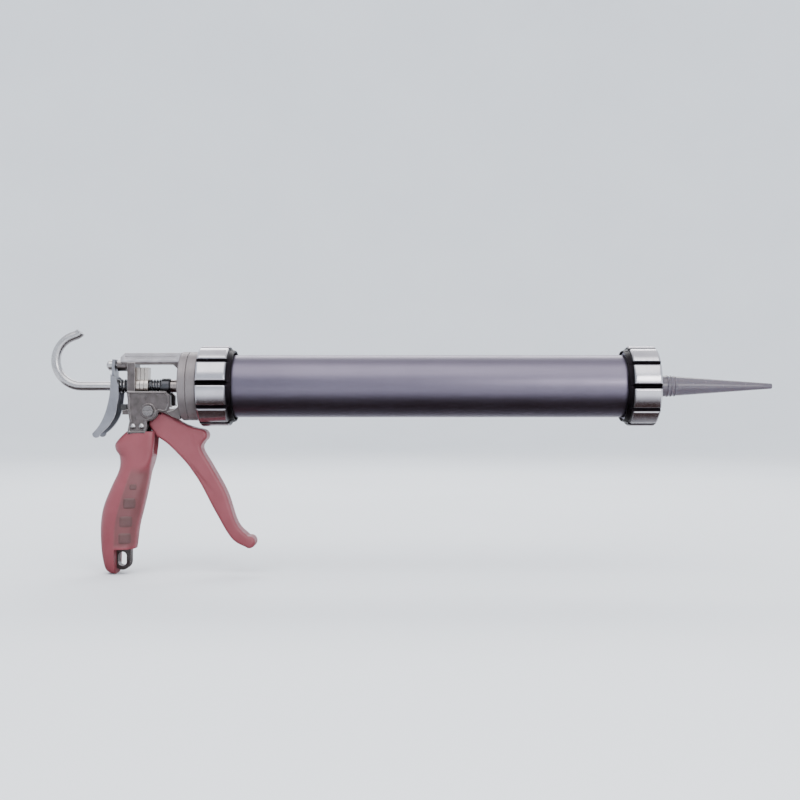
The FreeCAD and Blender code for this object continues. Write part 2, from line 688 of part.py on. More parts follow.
def trigger_outline(inset=0.0):
    """The trigger seen from the side. The inset draws its steel blade, inside the covers."""
    s = SEAT_X
    i = inset
    front = [V(s - 24.5 + i, 0, -25.5 - i), V(s - 16.7, 0, -31.0 - i), V(s - 6.7, 0, -35.2 - i),
             V(s + 2.0 - i, 0, -37.2 - i)]
    spur = [V(s + 2.0 - i, 0, -37.2 - i), V(s + 6.3 - i, 0, -42.0), V(s + 3.3 - i, 0, -47.5)]
    finger = [V(s + 3.3 - i, 0, -47.5), V(s + 1.4 - i, 0, -54.5), V(s + 10.3 - i, 0, -70.0),
              V(s + 22.3 - i, 0, -92.0), V(s + 31.3 - i, 0, -118.0), V(s + 41.3 - i, 0, -129.0 - i / 2)]
    tip = [V(s + 41.3 - i, 0, -129.0 - i / 2), V(s + 47.4 - i, 0, -136.0 + i / 2),
           V(s + 41.3 - i, 0, -139.6 + i)]
    back = [V(s + 41.3 - i, 0, -139.6 + i), V(s + 27.3, 0, -131.0 + i), V(s + 13.3 + i, 0, -108.0),
            V(s - 3.7 + i, 0, -77.0), V(s - 24.7 + i / 2, 0, -53.0 + i), V(s - 38.7 + i, 0, -42.5 + i)]
    head = [V(s - 38.7 + i, 0, -42.5 + i), V(s - 44.5 + i, 0, -33.5)]
    collar = PIVOT_R + 4.4

    def around(deg):
        a = math.radians(deg)
        return V(PIVOT_X + collar * math.cos(a), 0, PIVOT_Z + collar * math.sin(a))

    edges = [smooth(front), Part.Arc(*spur).toShape(), smooth(finger), Part.Arc(*tip).toShape(),
             smooth(back), Part.makeLine(*head), Part.makeLine(head[1], around(-92.0)),
             Part.Arc(around(-92.0), around(-45.0), around(5.0)).toShape(),
             Part.makeLine(around(5.0), front[0])]
    return Part.Face(Part.Wire(edges))


def trigger_screw_holes(y0, y1, r):
    return [rod_y(r, y0, y1, x, z) for x, z in TRIGGER_SCREWS]


def trigger_lever():
    """A steel blade with a round hub and a fork behind it that carries the push pin."""
    blade = slab(trigger_outline(2.6), -BLADE_HALF, BLADE_HALF)
    hub = rod_y(4.8, -LEVER_HALF, LEVER_HALF, PIVOT_X, PIVOT_Z)
    shoulder = rod_y(7.2, -LEVER_HALF, LEVER_HALF, PIVOT_X, PIVOT_Z).common(
        box(PIVOT_X - 8, PIVOT_X + 8, -10, 10, PIVOT_Z - 8, PIVOT_Z - 1.0))
    link = box(PIVOT_X + 2.0, PIVOT_X + 14.0, -BLADE_HALF, BLADE_HALF, PIVOT_Z - 9.5, PIVOT_Z - 2.0)
    arm = prism([(PIVOT_X - 1.0, PIVOT_Z + 6.9), (PUSH_PIN_X + 1.0, PUSH_PIN_Z + FORK_END_R - 0.2),
                 (PUSH_PIN_X - 1.0, PUSH_PIN_Z - FORK_END_R + 0.2), (PIVOT_X - 1.0, PIVOT_Z - 6.9)],
                FORK_IN, LEVER_HALF)
    end = rod_y(FORK_END_R, FORK_IN, LEVER_HALF, PUSH_PIN_X, PUSH_PIN_Z)
    eye = rod_y(7.0, FORK_IN, LEVER_HALF, PIVOT_X, PIVOT_Z)
    fork = arm.fuse([end, eye])
    lever = fused([blade, hub, shoulder, link] + both_sides(fork))
    lever = lever.cut(rod_y(PIVOT_R + 0.05, -10, 10, PIVOT_X, PIVOT_Z))
    lever = lever.cut(rod_y(PUSH_PIN_R, -10, 10, PUSH_PIN_X, PUSH_PIN_Z))
    for hole in trigger_screw_holes(-10, 10, TRIGGER_SCREW_R):
        lever = lever.cut(hole)
    return lever.removeSplitter()


def push_pin():
    return rod_y(PUSH_PIN_R, -LEVER_HALF, LEVER_HALF, PUSH_PIN_X, PUSH_PIN_Z)


def trigger_covers():
    face = trigger_outline()
    covers = {}
    core = slab(trigger_outline(2.6), -BLADE_HALF, BLADE_HALF)
    hub_space = rod_y(7.4, -20, 20, PIVOT_X, PIVOT_Z)
    link = box(PIVOT_X + 2.0, PIVOT_X + 14.0, -BLADE_HALF, BLADE_HALF, PIVOT_Z - 9.5, PIVOT_Z - 2.0)
    body = slab(face, -LEVER_HALF, LEVER_HALF)
    wide = slab(face, -10.0, 10.0).common(box(WIDE_X, SEAT_X + 60, -10, 10, -150, 0))
    whole = fused([body, wide])
    for cut in [core, hub_space, link] + trigger_screw_holes(-7.0, 20.0, TRIGGER_SCREW_R):
        whole = whole.cut(cut)
    for pocket in trigger_screw_holes(7.5, 20.0, 2 * TRIGGER_SCREW_R):
        whole = whole.cut(pocket)
    for name, y0, y1 in (("right", -20, 0), ("left", 0, 20)):
        half = whole.common(box(SEAT_X - 60, SEAT_X + 60, y0, y1, -150, 0))
        covers["trigger_cover_" + name] = half
    return covers


def trigger_screws():
    screws = []
    for x, z in TRIGGER_SCREWS:
        shank = rod_y(TRIGGER_SCREW_R, -7.0, 7.5, x, z)
        head = rod_y(2 * TRIGGER_SCREW_R, 7.5, 9.3, x, z)
        slot = box(x - 4, x + 4, 8.5, 10, z - 0.4, z + 0.4)
        screws.append(shank.fuse(head).cut(slot).removeSplitter())
    return screws


# ---- drive plates, release lever and springs ----


def drive_plate(number):
    """One gripping plate. Its ring fits the rod, and a tab stands above and below it."""
    x0 = UPRIGHT_FRONT_X + 0.05 + number * PLATE_STEP
    x1 = x0 + PLATE_THICKNESS
    tab = box(x0, x1, -5.0, 5.0, 0.0, PLATE_TOP)
    tail = box(x0, x1, -3.8, 3.8, PLATE_BOTTOM, 0.0)
    plate = fused([rod_x(PLATE_RING_R, x0, x1), tab, tail])
    return plate.cut(rod_x(ROD_R + 0.08, x0 - 1, x1 + 1)).removeSplitter()


RELEASE_REAR = ((-76.3, 0.0), (-76.6, -5.0), (-78.4, -15.0), (-81.4, -25.0), (-85.4, -33.0),
                (-91.6, -40.5))
RELEASE_FRONT = ((-69.3, 0.0), (-69.3, -5.0), (-70.3, -15.0), (-72.6, -25.0), (-77.4, -33.5),
                 (-85.2, -41.0))


def release_lever():
    """A pressed lever: a web across the rod, and two flanges that stiffen its curved tail."""
    rear = [V(SEAT_X + x, 0, z) for x, z in RELEASE_REAR]
    front = [V(SEAT_X + x, 0, z) for x, z in RELEASE_FRONT]
    tail_end = V(SEAT_X - 90.0, 0, -44.0)
    flange = Part.Face(Part.Wire([
        smooth(rear), Part.Arc(rear[-1], tail_end, front[-1]).toShape(), smooth(front[::-1]),
        Part.makeLine(front[0], V(SEAT_X - 72.0, 0, 7.0)),
        Part.makeLine(V(SEAT_X - 72.0, 0, 7.0), V(SEAT_X - 76.1, 0, 10.0)),
        Part.makeLine(V(SEAT_X - 76.1, 0, 10.0), rear[0]),
    ]))
    inner = [p + V(SHEET, 0, 0.6) for p in rear]
    web = Part.Face(Part.Wire([
        smooth(rear), Part.makeLine(rear[-1], inner[-1]), smooth(inner[::-1]),
        Part.makeLine(inner[0], rear[0]),
    ]))
    head = prism([(SEAT_X - 76.3, 0.0), (SEAT_X - 73.8, 0.6), (SEAT_X - 73.3, 23.0),
                  (SEAT_X - 75.6, 23.0)], -7.5, 7.5)
    lever = fused([slab(web, -RELEASE_HALF, RELEASE_HALF), head]
                  + both_sides(slab(flange, RELEASE_HALF - 2.0, RELEASE_HALF)))
    lever = lever.cut(rod_x(ROD_R + 0.9, SEAT_X - 90, SEAT_X - 60))
    lever = lever.cut(rod_x(STUD_R + 0.7, SEAT_X - 90, SEAT_X - 60, 0.0, STUD_Z))
    return lever.removeSplitter()


def drive_spring():
    rear = UPRIGHT_FRONT_X + 0.05 + (PLATE_COUNT - 1) * PLATE_STEP + PLATE_THICKNESS
    return spring_x(rear + 0.1, CUP_FRONT_X - 1.3, 5.2, 0.8, 7)


def brake_spring():
    return spring_x(SEAT_X - 73.5, UPRIGHT_REAR_X - 0.1, 5.4, 0.8, 3)


def all_parts():
    parts = {
        "barrel_tube": barrel_tube(),
        "rear_flange": rear_flange(),
        "rear_gasket": rear_gasket(),
        "front_thread_collar": front_thread_collar(),
        "rear_ring_nut": rear_ring_nut(),
        "front_ring_nut": front_ring_nut(),
        "front_cap": front_cap(),
        "front_gasket": front_gasket(),
        "nozzle_seal": nozzle_seal(),
        "nozzle": nozzle(),
        "piston_rod": piston_rod(),
        "barrel_seat": barrel_seat(),
        "seat_screws": seat_screws(),
        "rod_guide_bush": rod_guide_bush(),
        "spring_cup": spring_cup(),
        "frame_casting": frame_casting(),
        "cheek_rivets": cheek_rivets(),
        "stop_bumper": stop_bumper(),
        "pivot_bolt": pivot_bolt(),
        "pivot_nut": pivot_nut(),
        "lever_stud": lever_stud(),
        "grip_screws": grip_screws(),
        "trigger_lever": trigger_lever(),
        "push_pin": push_pin(),
        "trigger_screws": trigger_screws(),
        "release_lever": release_lever(),
        "drive_spring": drive_spring(),
        "brake_spring": brake_spring(),
    }
    parts.update(piston_stack())
    parts.update(grip_parts())
    parts.update(trigger_covers())
    for number in range(PLATE_COUNT):
        parts["drive_plate_%d" % (number + 1)] = drive_plate(number)
    return parts


os.makedirs("parts", exist_ok=True)
for name, solid in all_parts().items():
    shape = Part.makeCompound(solid) if isinstance(solid, list) else solid
    print(name, len(shape.Solids), shape.isValid(), round(shape.Volume, 1))
    shape.exportStep("parts/" + name + ".step")
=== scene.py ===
"""Looks for the closed-barrel caulking gun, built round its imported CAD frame.

Metres, in the frame's own axes: +X is the way the sealant leaves and +Z is up. CAD nodes whose
shape is right keep it and take a finish here. The grip, trigger covers, ring nuts, nozzle and
springs are replaced by finer meshes that ride on the same bodies.
"""

import json
import math

import bmesh
import bpy
import numpy as np
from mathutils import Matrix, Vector


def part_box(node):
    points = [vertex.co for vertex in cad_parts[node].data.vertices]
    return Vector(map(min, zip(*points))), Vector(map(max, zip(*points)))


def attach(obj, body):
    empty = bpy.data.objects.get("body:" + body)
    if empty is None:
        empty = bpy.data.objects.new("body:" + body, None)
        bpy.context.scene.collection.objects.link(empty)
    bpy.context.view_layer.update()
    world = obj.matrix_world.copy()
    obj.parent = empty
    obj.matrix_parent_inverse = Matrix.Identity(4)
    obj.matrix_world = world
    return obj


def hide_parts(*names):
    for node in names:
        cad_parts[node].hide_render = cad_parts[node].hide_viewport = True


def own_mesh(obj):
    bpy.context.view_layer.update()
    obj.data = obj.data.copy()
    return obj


MM = 0.001
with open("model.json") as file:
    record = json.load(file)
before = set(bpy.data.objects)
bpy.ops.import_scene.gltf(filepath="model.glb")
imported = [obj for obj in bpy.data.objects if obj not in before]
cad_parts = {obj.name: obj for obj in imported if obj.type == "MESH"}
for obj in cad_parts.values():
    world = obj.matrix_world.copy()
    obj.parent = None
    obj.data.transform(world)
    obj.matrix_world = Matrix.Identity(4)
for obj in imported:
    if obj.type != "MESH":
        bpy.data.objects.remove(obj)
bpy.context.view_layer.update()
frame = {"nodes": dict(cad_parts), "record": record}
nodes = frame["nodes"]

# ---- places read from the frame ----
SEAT_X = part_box("rear_ring_nut")[0].x
NOSE_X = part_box("front_ring_nut")[1].x
FRONT_NUT_X0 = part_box("front_ring_nut")[0].x
REAR_NUT_X1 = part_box("rear_ring_nut")[1].x
NUT_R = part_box("rear_ring_nut")[1].z
FLOOR_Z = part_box("grip_left")[0].z
PIVOT = (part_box("pivot_nut")[0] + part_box("pivot_nut")[1]) / 2
EYE_X = SEAT_X - 67.5 * MM
NOTCH_Z = -140.0 * MM
CHEEK_OUT = 12.5 * MM
HEAD_HOLE_R = 3.1 * MM
# point attributes that the grip's and the nuts' finishes read; both carry painted shade, on the
# grip's recessed front half and in the nuts' grooves and neck
INLAY_SHADE = "inlay_and_painted_shade"
PAINTED_SHADE = "dark"

# ---- small tools ----


def mm(*values):
    return [v * MM for v in values]


def smoothstep(t):
    t = min(1.0, max(0.0, t))
    return t * t * (3.0 - 2.0 * t)


def make_piece(name, verts, faces, sharp_deg=38.0):
    """A mesh object with outward normals, smooth but for edges sharper than sharp_deg."""
    mesh = bpy.data.meshes.new(name)
    mesh.from_pydata([tuple(v) for v in verts], [], faces)
    tidy_normals(mesh, sharp_deg)
    piece = bpy.data.objects.new(name, mesh)
    bpy.context.scene.collection.objects.link(piece)
    return piece


def tidy_normals(mesh, sharp_deg):
    work = bmesh.new()
    work.from_mesh(mesh)
    bmesh.ops.remove_doubles(work, verts=work.verts, dist=1e-7)
    bmesh.ops.recalc_face_normals(work, faces=work.faces)
    work.to_mesh(mesh)
    work.free()
    mesh.shade_smooth()
    mesh.set_sharp_from_angle(angle=math.radians(sharp_deg))


def mark(piece, name, share):
    """Stores share(x, y, z) at each point of the mesh, for a finish to read."""
    marked = piece.data.attributes.new(name, "FLOAT", "POINT")
    marked.data.foreach_set("value", [share(*v.co) for v in piece.data.vertices])


def settle(piece, sharp_deg=38.0):
    """Applies the piece's modifiers to its mesh."""
    bpy.context.view_layer.update()
    graph = bpy.context.evaluated_depsgraph_get()
    mesh = bpy.data.meshes.new_from_object(piece.evaluated_get(graph))
    piece.modifiers.clear()
    piece.data = mesh
    tidy_normals(mesh, sharp_deg)


def cut_away(piece, cutters):
    for cutter in cutters:
        step = piece.modifiers.new("cut", "BOOLEAN")
        step.operation = "DIFFERENCE"
        step.solver = "EXACT"
        step.object = cutter
    settle(piece)
    for cutter in cutters:
        bpy.data.objects.remove(cutter)


def block(x0, x1, y0, y1, z0, z1):
    corners = [(x, y, z) for x in (x0, x1) for y in (y0, y1) for z in (z0, z1)]
    faces = [(0, 1, 3, 2), (4, 6, 7, 5), (0, 4, 5, 1), (2, 3, 7, 6), (0, 2, 6, 4), (1, 5, 7, 3)]
    return make_piece("cutter", corners, faces)


def wrap(rings, points, closed=False):
    """Faces between rings of points, and from the last ring to the first if closed."""
    return [(r * points + k, r * points + (k + 1) % points,
             (r + 1) % rings * points + (k + 1) % points, (r + 1) % rings * points + k)
            for r in range(rings if closed else rings - 1) for k in range(points)]


def ends(rings, points):
    """The two faces that fill the first ring and the last."""
    return [tuple(range(points)), tuple(range((rings - 1) * points, rings * points))]


def prism_y(outline, y0, y1):
    """A cutter with an (x, z) outline, from y0 to y1."""
    verts = [(x, y, z) for y in (y0, y1) for x, z in outline]
    return make_piece("cutter", verts, wrap(2, len(outline)) + ends(2, len(outline)))


def drill_y(r, y0, y1, x, z, sides=40):
    ring = [(x + r * math.cos(2 * math.pi * k / sides), z + r * math.sin(2 * math.pi * k / sides))
            for k in range(sides)]
    return prism_y(ring, y0, y1)


def flow(points, steps=8):
    """A smooth open curve through the points, each stretch cut into equal steps."""
    pts = [np.array(p, float) for p in points]
    pts = [2 * pts[0] - pts[1]] + pts + [2 * pts[-1] - pts[-2]]
    curve = []
    for a, b, c, d in zip(pts, pts[1:], pts[2:], pts[3:]):
        for k in range(steps):
            t = k / steps
            curve.append(0.5 * (2 * b + (c - a) * t + (2 * a - 5 * b + 4 * c - d) * t ** 2
                                + (3 * b - a - 3 * c + d) * t ** 3))
    return curve + [pts[-2]]


def bow(a, b, c, steps=10):
    """Points along the round arc from a through b to c."""
    a, b, c = (complex(*p) for p in (a, b, c))
    w = (c - a) / (b - a)
    centre = a + (b - a) * (abs(w) ** 2 - w) / (w.conjugate() - w)
    start, end = (math.atan2((p - centre).imag, (p - centre).real) for p in (a, c))
    middle = math.atan2((b - centre).imag, (b - centre).real)
    turn = (end - start) % (2 * math.pi)
    if (middle - start) % (2 * math.pi) > turn:
        turn -= 2 * math.pi
    r = abs(a - centre)
    return [np.array([centre.real + r * math.cos(start + turn * k / steps),
                      centre.imag + r * math.sin(start + turn * k / steps)])
            for k in range(steps + 1)]


def eased(profile, radius, steps=4):
    """A closed outline with each corner rounded."""
    out = []
    count = len(profile)
    for k in range(count):
        before, here, after = (np.array(profile[(k + j) % count], float) for j in (-1, 0, 1))
        back, on = before - here, after - here
        reach = min(radius, 0.45 * np.linalg.norm(back), 0.45 * np.linalg.norm(on))
        p0 = here + back / np.linalg.norm(back) * reach
        p2 = here + on / np.linalg.norm(on) * reach
        for j in range(steps + 1):
            t = j / steps
            out.append((1 - t) ** 2 * p0 + 2 * t * (1 - t) * here + t ** 2 * p2)
    return out


def lathe(name, profile, angles=None, shape=None):
    """Revolves a closed (x, r) outline about the X axis. shape(x, r, angle) may change r."""
    if angles is None:
        angles = [2 * math.pi * k / 128 for k in range(128)]
    verts = []
    for a in angles:
        for x, r in profile:
            reach = shape(x, r, a) if shape else r
            verts.append((x, reach * math.cos(a), reach * math.sin(a)))
    return make_piece(name, verts, wrap(len(angles), len(profile), closed=True))


# ---- finishes ----


class Finish:
    """One procedural material: a Principled shader and the nodes that vary it."""

    def __init__(self, name, metallic=0.0, **sockets):
        self.material = bpy.data.materials.new(name)
        self.material.use_nodes = True
        self.tree = self.material.node_tree
        self.shader = self.tree.nodes["Principled BSDF"]
        self.shader.inputs["Metallic"].default_value = metallic
        for socket, value in sockets.items():
            self.shader.inputs[socket.replace("_", " ")].default_value = value
        self.place = self.add("ShaderNodeTexCoord").outputs["Object"]
        self.normal = None

    def add(self, kind, **inputs):
        made = self.tree.nodes.new(kind)
        for socket, value in inputs.items():
            target = made.inputs[socket.replace("_", " ")]
            if isinstance(value, bpy.types.NodeSocket):
                self.tree.links.new(value, target)
            else:
                target.default_value = value
        return made

    def speckle(self, scale, detail=4.0, stretch=(1.0, 1.0, 1.0)):
        """Noise in metres, drawn out where a stretch is under 1."""
        moved = self.add("ShaderNodeMapping", Vector=self.place, Scale=stretch)
        grain = self.add("ShaderNodeTexNoise", Vector=moved.outputs["Vector"], Scale=scale,
                         Detail=detail)
        return grain.outputs["Fac"]

    def span(self, value, low, high, from_low=0.3, from_high=0.7):
        spread = self.add("ShaderNodeMapRange", Value=value)
        spread.inputs["From Min"].default_value = from_low
        spread.inputs["From Max"].default_value = from_high
        spread.inputs["To Min"].default_value = low
        spread.inputs["To Max"].default_value = high
        return spread.outputs["Result"]

    def blend(self, amount, first, second):
        mixer = self.add("ShaderNodeMix")
        mixer.data_type = "RGBA"
        for socket, value in ((mixer.inputs[0], amount), (mixer.inputs[6], first),
                              (mixer.inputs[7], second)):
            if isinstance(value, bpy.types.NodeSocket):
                self.tree.links.new(value, socket)
            elif isinstance(value, tuple):
                socket.default_value = (*value, 1.0)
            else:
                socket.default_value = value
        return mixer.outputs[2]

    def feed(self, socket, value):
        self.tree.links.new(value, self.shader.inputs[socket])

    def soften_edges(self, radius):
        """Rounds each edge's shading, and returns how near an edge a point is."""
        rounded = self.add("ShaderNodeBevel", Radius=radius)
        rounded.samples = 6
        self.normal = rounded.outputs["Normal"]
        flat = self.add("ShaderNodeNewGeometry").outputs["Normal"]
        meet = self.tree.nodes.new("ShaderNodeVectorMath")
        meet.operation = "DOT_PRODUCT"
        self.tree.links.new(self.normal, meet.inputs[0])
        self.tree.links.new(flat, meet.inputs[1])
        return self.span(meet.outputs["Value"], 1.0, 0.0, 0.80, 0.995)

    def raise_by(self, height, value):
        """Adds relief whose full range is height metres."""
        relief = self.add("ShaderNodeBump", Height=value, Strength=1.0, Distance=height)
        if self.normal is not None:
            self.tree.links.new(self.normal, relief.inputs["Normal"])
        self.normal = relief.outputs["Normal"]
        self.tree.links.new(self.normal, self.shader.inputs["Normal"])


def metal(name, dark, light, rough, cloud=70.0, grain=None, lines=None, edge=0.35 * MM,
          worn=None, **sockets):
    """Bare or plated metal. grain is (scale, height), lines is (stretch, scale, height)."""
    made = Finish(name, metallic=1.0, **sockets)
    near_edge = made.soften_edges(edge)
    patches = made.speckle(cloud, 5.0)
    tone = made.blend(made.span(patches, 0.0, 1.0), dark, light)
    if worn:
        tone = made.blend(near_edge, tone, worn)
    made.feed("Base Color", tone)
    gloss = made.speckle(cloud * 6.0, 6.0) if lines is None else made.speckle(
        lines[1], 3.0, lines[0])
    made.feed("Roughness", made.span(gloss, *rough))
    if grain:
        made.raise_by(grain[1], made.speckle(grain[0], 3.0))
    if lines:
        made.raise_by(lines[2], made.speckle(lines[1], 2.0, lines[0]))
    return made.material


def plastic(name, dark, light, rough, cloud=45.0, grain=(2200.0, 0.03 * MM), edge=0.5 * MM,
            worn=None, **sockets):
    """Moulded plastic or rubber with a fine grain and slow changes of shade."""
    made = Finish(name, **sockets)
    near_edge = made.soften_edges(edge)
    tone = made.blend(made.span(made.speckle(cloud, 4.0), 0.0, 1.0), dark, light)
    if worn:
        tone = made.blend(made.span(near_edge, 0.0, 0.5, 0.0, 1.0), tone, worn)
    made.feed("Base Color", tone)
    made.feed("Roughness", made.span(made.speckle(cloud * 9.0, 4.0), *rough))
    made.raise_by(grain[1], made.speckle(grain[0], 2.0))
    return made.material


ALONG = (0.02, 1.0, 1.0)
AROUND = (1.0, 0.02, 0.02)


def cast_metal():
    """Die-cast metal, dark and grainy below; from about 21 mm up, along the casting's top, it is
    coloured much brighter as a painted highlight standing in for the light its top reflects.
    """
    made = Finish("cast_frame", metallic=1.0)
    near_edge = made.soften_edges(0.5 * MM)
    patches = made.span(made.speckle(160.0, 6.0), 0.0, 1.0)
    body = made.blend(patches, (0.082, 0.070, 0.069), (0.150, 0.131, 0.128))
    # the bright tone of the painted highlight along the casting's top
    painted_top_highlight = made.blend(patches, (0.38, 0.355, 0.36), (0.51, 0.48, 0.49))
    height = made.add("ShaderNodeSeparateXYZ", Vector=made.place).outputs["Z"]
    # painted highlight: above Z 20.2-21.4 mm the casting takes the bright tone instead of the dark
    # one
    tone = made.blend(made.span(height, 0.0, 1.0, 20.2 * MM, 21.4 * MM), body, painted_top_highlight)
    made.feed("Base Color", made.blend(near_edge, tone, (0.62, 0.59, 0.585)))
    made.feed("Roughness", made.span(made.speckle(420.0, 6.0), 0.27, 0.44))
    made.raise_by(0.06 * MM, made.speckle(1100.0, 3.0))
    return made.material


def chromed_metal():
    """Bright chrome on the lobes, with painted shade: the grooves and the neck are coloured near
    black.
    """
    made = Finish("chromed_nut", metallic=1.0)
    made.soften_edges(0.5 * MM)
    dark = made.add("ShaderNodeAttribute")
    dark.attribute_name = PAINTED_SHADE
    bright = made.blend(made.span(made.speckle(70.0, 5.0), 0.0, 1.0),
                        (0.43, 0.415, 0.445), (0.50, 0.485, 0.515))
    # painted shade: near black wherever the nut is marked as lying in shade
    made.feed("Base Color", made.blend(dark.outputs["Fac"], bright, (0.010, 0.008, 0.010)))
    gloss = made.span(made.speckle(420.0, 6.0), 0.17, 0.27)
    rough = made.add("ShaderNodeMix", Factor=dark.outputs["Fac"], A=gloss, B=0.5)
    made.feed("Roughness", rough.outputs["Result"])
    made.raise_by(0.004 * MM, made.speckle(500.0, 3.0))
    return made.material


def grip_plastic():
    """Moulded red plastic; the recessed front half of the palm grip's side is coloured darker as
    painted shade, standing in for the shade that falls on that side.
    """
    made = Finish("red_grip")
    near_edge = made.soften_edges(0.6 * MM)
    patches = made.span(made.speckle(45.0, 4.0), 0.0, 1.0)
    red = made.blend(patches, (0.180, 0.034, 0.045), (0.215, 0.047, 0.060))
    red = made.blend(made.span(near_edge, 0.0, 0.5, 0.0, 1.0), red, (0.35, 0.090, 0.105))
    # painted shade: the darker red put on the recessed front half of the grip
    soft = made.blend(patches, (0.124, 0.038, 0.042), (0.156, 0.051, 0.055))
    amount = made.add("ShaderNodeAttribute")
    amount.attribute_name = INLAY_SHADE
    made.feed("Base Color", made.blend(amount.outputs["Fac"], red, soft))
    made.feed("Roughness", made.span(made.speckle(400.0, 4.0), 0.36, 0.50))
    made.raise_by(0.03 * MM, made.speckle(2200.0, 2.0))
    return made.material


def all_finishes():
    """Every finish by the name of its material slot, and two that single nodes have."""
    return {
        "cast_frame": cast_metal(),
        "turned_seat": metal("turned_seat", (0.150, 0.132, 0.134), (0.205, 0.183, 0.186),
                             (0.38, 0.52), lines=(AROUND, 1500.0, 0.010 * MM),
                             worn=(0.44, 0.41, 0.41), Metallic=0.55),
        "dark_bolt": metal("dark_bolt", (0.13, 0.12, 0.12), (0.20, 0.185, 0.185), (0.26, 0.40),
                           grain=(1500.0, 0.02 * MM), worn=(0.58, 0.56, 0.56)),
        "satin_tube": metal("satin_tube", (0.124, 0.109, 0.146), (0.143, 0.126, 0.167),
                            (0.32, 0.42), cloud=18.0, lines=(ALONG, 1600.0, 0.006 * MM)),
        "chromed_nut": chromed_metal(),
        "bright_steel": metal("bright_steel", (0.37, 0.36, 0.365), (0.47, 0.46, 0.465),
                              (0.20, 0.34), lines=(ALONG, 1400.0, 0.006 * MM)),
        "lever_steel": metal("lever_steel", (0.200, 0.200, 0.222), (0.270, 0.272, 0.300),
                             (0.28, 0.42), grain=(900.0, 0.02 * MM), worn=(0.50, 0.50, 0.52)),
        "plate_steel": metal("plate_steel", (0.36, 0.32, 0.29), (0.52, 0.47, 0.43),
                             (0.24, 0.40), grain=(1300.0, 0.015 * MM), worn=(0.70, 0.67, 0.64)),
        "black_steel": metal("black_steel", (0.05, 0.05, 0.055), (0.10, 0.10, 0.11),
                             (0.28, 0.44), grain=(1500.0, 0.02 * MM), worn=(0.34, 0.34, 0.35)),
        "zinc_screw": metal("zinc_screw", (0.48, 0.48, 0.50), (0.62, 0.62, 0.64), (0.22, 0.36),
                            grain=(1800.0, 0.015 * MM), worn=(0.78, 0.78, 0.79)),
        "bush_metal": metal("bush_metal", (0.22, 0.19, 0.18), (0.34, 0.30, 0.29), (0.24, 0.36),
                            lines=(AROUND, 1800.0, 0.008 * MM), worn=(0.58, 0.55, 0.53)),
        "red_grip": grip_plastic(),
        "dark_bars": plastic("dark_bars", (0.082, 0.036, 0.036), (0.108, 0.047, 0.047),
                             (0.55, 0.68), grain=(1500.0, 0.05 * MM)),
        "rubber": plastic("rubber", (0.012, 0.012, 0.013), (0.028, 0.027, 0.027), (0.60, 0.75),
                          grain=(1400.0, 0.05 * MM)),
        "grey_nozzle": plastic("grey_nozzle", (0.086, 0.074, 0.092), (0.097, 0.084, 0.103),
                               (0.22, 0.28), cloud=22.0, grain=(1400.0, 0.005 * MM),
                               Subsurface_Weight=0.06, Subsurface_Scale=2.0 * MM),
        "white_cup": plastic("white_cup", (0.66, 0.66, 0.63), (0.74, 0.74, 0.71), (0.35, 0.48),
                             Subsurface_Weight=0.10, Subsurface_Scale=2.0 * MM),
    }


OWN_FINISH = {"barrel_seat": "turned_seat", "pivot_bolt": "dark_bolt", "pivot_nut": "dark_bolt"}
finishes = all_finishes()


def wear(piece, slot):
    """Gives a piece the finish of a slot."""
    piece.data.materials.clear()
    piece.data.materials.append(finishes[slot])


def finish_cad_nodes():
    for part in frame["record"]["subparts"]:
        cad = nodes[part["node"]]
        slot = OWN_FINISH.get(part["node"], part["material_slot"])
        if not cad.data.materials:
            cad.data.materials.append(None)
        for index in range(len(cad.material_slots)):
            cad.material_slots[index].material = finishes[slot]


def stand_in(piece, slot, body, *cad_nodes):
    wear(piece, slot)
    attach(piece, body)
    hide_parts(*cad_nodes)


# ---- ring nuts ----

LOBES = 10
LOBE_STEP = 2 * math.pi / LOBES
LOBE_PROUD = 0.1 * MM
CHAMFER = 1.9 * MM
NECK = 4.0 * MM
GROOVE_DEPTH = 3.2 * MM
GROOVE_HALF = 2.9 * MM
CROWN_DROP = 0.9 * MM
# half width of the painted shade in each groove
PAINTED_SHADE_HALF = 2.3 * MM
FADE = 0.5 * MM


def from_groove(angle, phase_deg):
    """The angle from the centre of the nearest groove."""
    return (angle - math.radians(phase_deg) + LOBE_STEP / 2) % LOBE_STEP - LOBE_STEP / 2


def lobe_angles(phase_deg):
    """Angles round a nut, closest together in the grooves."""
    groove = 1.5 * GROOVE_HALF / NUT_R
    angles = []
    for lobe in range(LOBES):
        centre = math.radians(phase_deg) + lobe * LOBE_STEP
        angles += [centre - groove + 2 * groove * k / 14 for k in range(14)]
        angles += [centre + groove + (LOBE_STEP - 2 * groove) * k / 12 for k in range(12)]
    return angles


def nut_shape(phase_deg):
    """How far out the nut's skin is: crowned lobes with a groove between each two."""
    soft = 0.35 * MM

    def shape(x, r, angle):
        if r < NUT_R - GROOVE_DEPTH - 0.2 * MM:
            return r
        turn = from_groove(angle, phase_deg)
        across = 1.0 - abs(turn) / (LOBE_STEP / 2)
        crown = NUT_R - CROWN_DROP * across ** 2
        depth = GROOVE_DEPTH * (1.0 - smoothstep(abs(turn) * NUT_R / GROOVE_HALF))
        low, high = sorted((r, crown - depth))
        return low - soft * math.exp(-(high - low) / soft) * 0.5

    return shape


def nut_painted_shade(x_lobes_end, way, phase_deg):
    """Where a nut is coloured near black as painted shade: in its grooves, and on its neck beyond
    the lobes.
    """

    def share(x, y, z):
        turn = from_groove(math.atan2(z, y), phase_deg)
        groove = smoothstep((PAINTED_SHADE_HALF - abs(turn) * NUT_R) / FADE + 0.5)
        outer = smoothstep((math.hypot(y, z) - NUT_R + GROOVE_DEPTH + 2 * MM) / FADE + 0.5)
        neck = smoothstep(way * (x - x_lobes_end) / FADE + 0.5)
        return max(groove * outer, neck)

    return share


